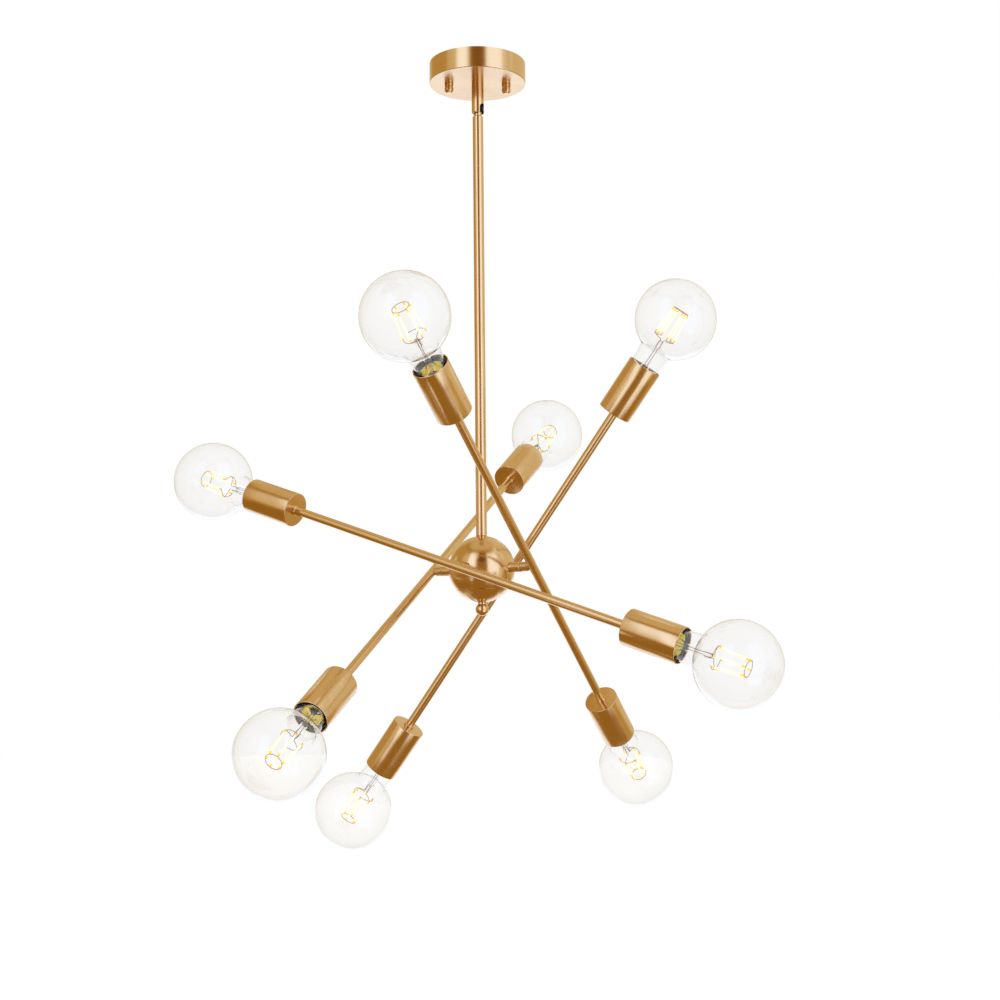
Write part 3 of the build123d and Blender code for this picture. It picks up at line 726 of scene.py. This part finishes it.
for number in ARMS:
    body = f"arm_{number}"
    joint = joints[f"{body}_turn"]
    pivot = Vector(joint["pos_m"])
    outward = Vector(joint["axis"]).normalized()
    centres = [sum(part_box(f"{body}_{end}_cup"), Vector()) / 2 for end in ("upper", "lower")]
    direction = centres[0] - centres[1]
    direction = (direction - outward * direction.dot(outward)).normalized()

    tube = Turned()
    tube.add(tube_outline(), (pivot, direction, outward), steps=64)
    outward_faces(tube.build(f"{body}_tube_brushed", body, ["tube"], "arm_brass", [f"{body}_tube"]))

    holders, bases, stems, filaments, wires, boards = (Turned() for _ in range(6))
    for end, sign, turned_by in zip(("upper", "lower"), (1, -1), BULB_TURNS[number - 1]):
        frame_of = (pivot, direction * sign, outward)
        cup = Turned()
        cup.add(cup_outline(), frame_of, steps=96)
        outward_faces(cup.build(f"{body}_{end}_cup_brushed", body, ["cup"], "cup_brass",
                                [f"{body}_{end}_cup"]))
        globe = Turned()
        globe.add(globe_outline(), frame_of, steps=96, closed=False)
        outward_faces(globe.build(f"{body}_{end}_globe_blown", body, ["glass"], "bulb_glass",
                                  [f"{body}_{end}_globe"], sharp=60))
        holders.add(lampholder_outline(), frame_of)
        add_base(bases, frame_of)
        stems.add(stem_outline(), frame_of, steps=40, closed=False)
        add_filaments(filaments, wires, frame_of, turned_by)
        add_board(boards, frame_of)
    outward_faces(holders.build(f"{body}_lampholders_moulded", body, ["insulator"], "black_insulator",
                                [f"{body}_lampholders"]))
    outward_faces(bases.build(f"{body}_screw_bases", body, ["base", "base_inside"], "base_metal",
                              [f"{body}_bulb_bases"]))
    outward_faces(stems.build(f"{body}_glass_stems", body, ["stem_glass"], "stem_glass",
                              [f"{body}_bulb_stems"]))
    filaments.build(f"{body}_lit_filaments", body, ["filament", "filament_end"], "filament",
                    [f"{body}_filaments"])
    wires.build(f"{body}_lead_wires", body, ["wire"], "base_metal")
    outward_faces(boards.build(f"{body}_driver_boards", body,
                               ["board", "potting", "zinc_local", "insulator"], "base_metal"))


# ---- studio ----

FLOOR_HALF, FLOOR_BELOW = 40.0, 0.9      # metres


def pale_floor():
    """Floor well below the object. It is nearly black in its own colour and glows white, so that it
    meets the white surround with hardly a line, there and in the glass."""
    mesh = bpy.data.meshes.new("floor")
    size, low = FLOOR_HALF, cad_box[0][2] - FLOOR_BELOW
    mesh.from_pydata([(-size, -size, low), (size, -size, low), (size, size, low), (-size, size, low)],
                     [], [(0, 1, 2, 3)])
    material, tree, shader = new_material("pale_floor")
    shader.inputs["Base Color"].default_value = (0.04, 0.05, 0.08, 1)
    shader.inputs["Roughness"].default_value = 0.8
    shader.inputs["Emission Color"].default_value = (1, 1, 1, 1)
    shader.inputs["Emission Strength"].default_value = 0.965
    mesh.materials.append(material)
    floor = bpy.data.objects.new("floor", mesh)
    scene.collection.objects.link(floor)
    floor.visible_glossy = False


# strength, azimuths, heights, softness of the sides, softness of the ends; degrees
PANELS = (
    (1.00, (-56, -22), (-17, 52), 8, 9),        # left front panel
    (0.98, (17, 62), (-49, 50), 6, 8),          # right front panel
    (0.62, (40, 84), (-40, 60), 20, 12),        # its soft outer half
    (0.52, (60, 178), (-12, 70), 16, 12),       # right wall
    (0.30, (60, 150), (-38, 0), 16, 10),        # and its lower part
    (0.50, (-84, -50), (-8, 50), 12, 12),       # the left panel's outer half
    (0.30, (-178, -60), (-14, 60), 14, 10),     # left wall
    (0.44, (-200, 200), (58, 110), 8, 12),      # ceiling
    (0.90, (140, 200), (-42, 2), 14, 8),        # white backdrop on the right
    (0.90, (-200, -146), (-42, 2), 14, 8),      # and on the left
    (0.46, (-200, -140), (2, 70), 14, 10),      # above the backdrop
    (0.72, (-121, -116), (-66, -48), 2, 4),     # thin strip low on the left
    (0.95, (87, 91), (20, 56), 1.5, 5),         # thin strip on the right
    (0.14, (-200, 200), (-110, 20), 5, 5),      # dim floor, up to a little above the horizon
)


# colour of the light from the darkest to the brightest places: warm and dim to cool and bright
LIGHT_TONES = ((0.0, (0.16, 0.055, 0.004)), (0.22, (0.44, 0.25, 0.05)), (0.36, (0.58, 0.42, 0.17)),
               (0.52, (0.72, 0.62, 0.42)), (1.0, (1.19, 1.33, 1.72)))


def studio_light():
    """Soft light from all round: two broad panels in front with a gap between them, a dim floor,
    and a plain white surround wherever the camera looks straight at it or through glass."""
    world = bpy.data.worlds.new("studio")
    scene.world = world
    world.use_nodes = True
    tree = world.node_tree
    tree.nodes.clear()
    way = node(tree, "ShaderNodeSeparateXYZ")
    tree.links.new(node(tree, "ShaderNodeTexCoord").outputs["Generated"], way.inputs[0])
    x, y, z = way.outputs
    turn = math_node(tree, "ARCTAN2", x, math_node(tree, "MULTIPLY", y, -1.0))
    azimuth = math_node(tree, "MULTIPLY", turn, math.degrees(1))
    height = math_node(tree, "MULTIPLY", math_node(tree, "ARCSINE", z), math.degrees(1))

    def between(angle, limits, soft):
        """1 between two angles and 0 outside them, with soft edges."""
        rise = smooth_step(tree, angle, limits[0] - soft, limits[0] + soft)
        fall = smooth_step(tree, angle, limits[1] - soft, limits[1] + soft, 1.0, 0.0)
        return math_node(tree, "MULTIPLY", rise, fall)

    def patch(strength, azimuths, heights, soft_sides, soft_ends):
        """A soft-edged panel of light; azimuth 0 is in front, and 90 to the right."""
        shape = math_node(tree, "MULTIPLY", between(azimuth, azimuths, soft_sides),
                          between(height, heights, soft_ends))
        return math_node(tree, "MULTIPLY", shape, strength)

    level = None
    for panel in PANELS:
        lit = patch(*panel)
        level = lit if level is None else math_node(tree, "MAXIMUM", level, lit)
    level = math_node(tree, "ADD", level, 0.0, clamp=True)
    colour = ramp(tree, level, LIGHT_TONES)
    paths = node(tree, "ShaderNodeLightPath")
    plain = math_node(tree, "MAXIMUM", paths.outputs["Is Camera Ray"], paths.outputs["Is Transmission Ray"])
    shown = mix_colours(tree, plain, colour, (1.0, 1.0, 1.0))
    background = node(tree, "ShaderNodeBackground")
    tree.links.new(shown, background.inputs["Color"])
    output = node(tree, "ShaderNodeOutputWorld")
    tree.links.new(background.outputs[0], output.inputs["Surface"])


pale_floor()
studio_light()
scene.view_settings.view_transform = "Standard"
scene.view_settings.look = "None"
scene.cycles.use_denoising = True
scene.cycles.denoiser = "OPENIMAGEDENOISE"
scene.cycles.max_bounces = 24
scene.cycles.glossy_bounces = 8
scene.cycles.transmission_bounces = 24
scene.cycles.transparent_max_bounces = 16

bpy.context.view_layer.update()
